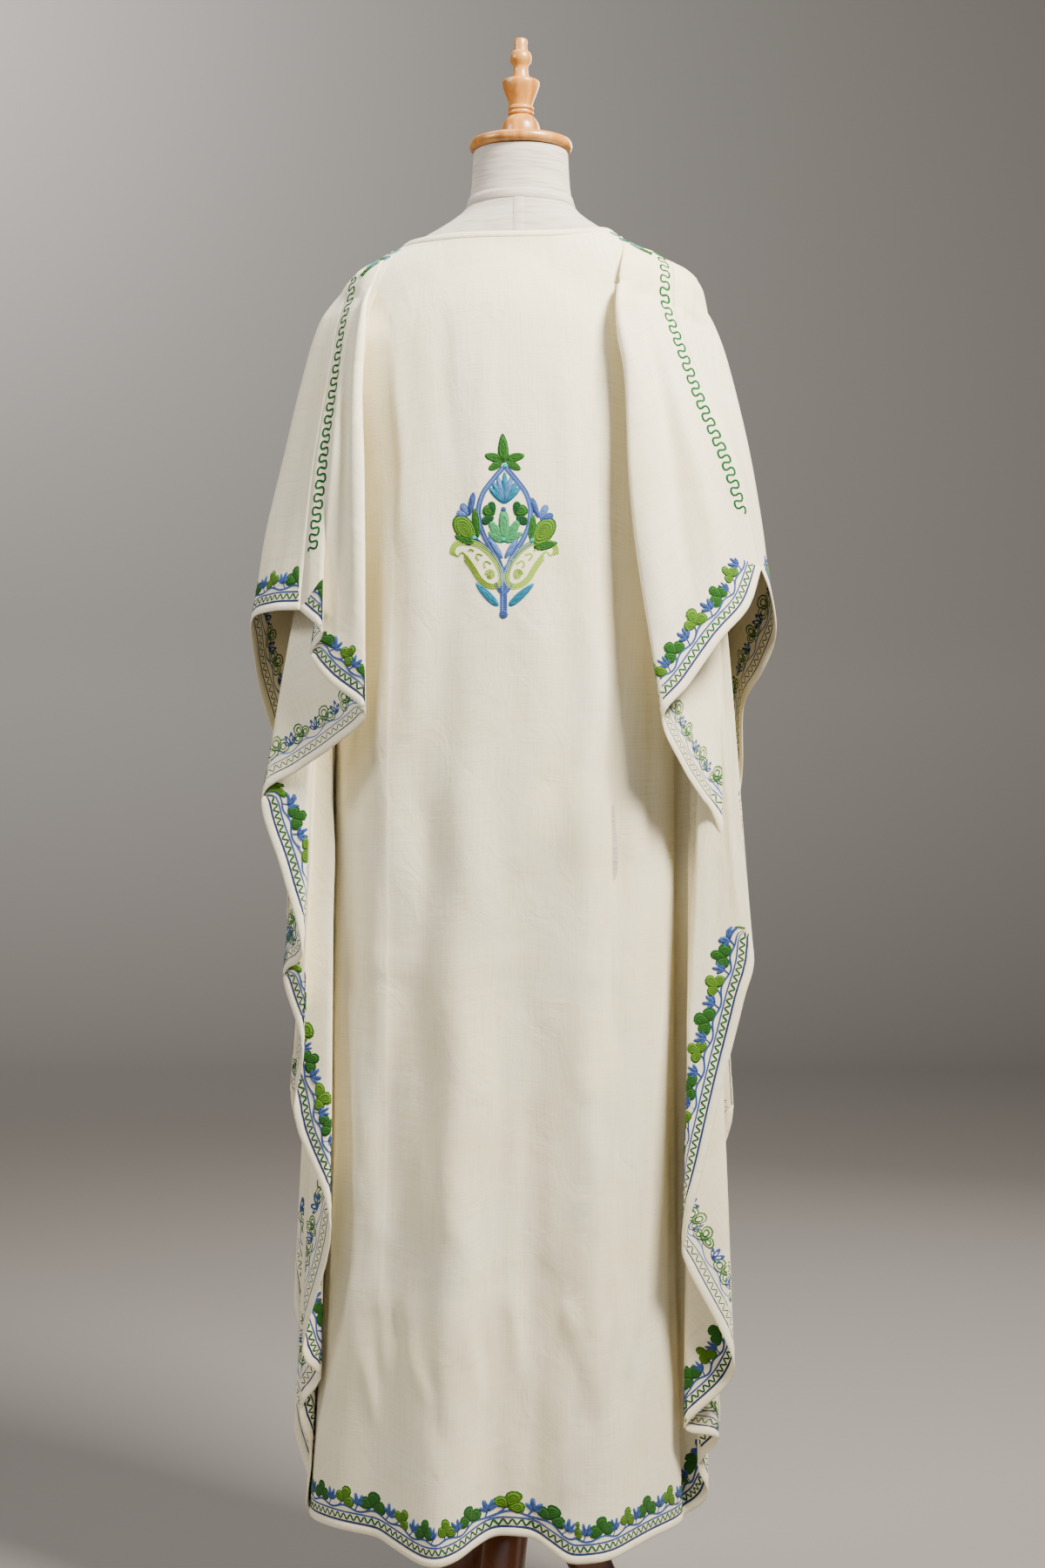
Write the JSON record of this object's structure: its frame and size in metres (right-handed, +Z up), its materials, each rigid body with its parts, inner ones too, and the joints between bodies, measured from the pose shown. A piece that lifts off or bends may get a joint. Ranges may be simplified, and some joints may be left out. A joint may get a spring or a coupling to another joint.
{
  "type": "kaftan on a limbless dress form with a tripod stand",
  "caption": "Loose wide-sleeved kaftan with embroidered borders and back motif, worn by a linen-covered limbless dress form on a wooden tripod stand.",
  "frame": {"origin": "centre of the part's footprint on the floor", "axes": "+Z up, the garment's back faces -Y, its front faces +Y, its wearer's left side is -X"},
  "size_m": [0.5716, 0.4834, 1.7665],
  "materials": {
    "kaftan_cloth": "soft matt woven cloth",
    "linen_cover": "tight plain linen weave",
    "oak": "satin varnish, honey coloured",
    "stand_wood": "brown stained, satin varnish"
  },
  "bodies": {
    "root": {"back_panel": "kaftan_cloth", "front_panel": "kaftan_cloth", "dress_form": "linen_cover", "neck_cap": "oak", "finial": "oak", "column": "stand_wood", "hub": "stand_wood", "leg_1": "stand_wood", "leg_2": "stand_wood", "leg_3": "stand_wood"}
  },
  "joints": []
}
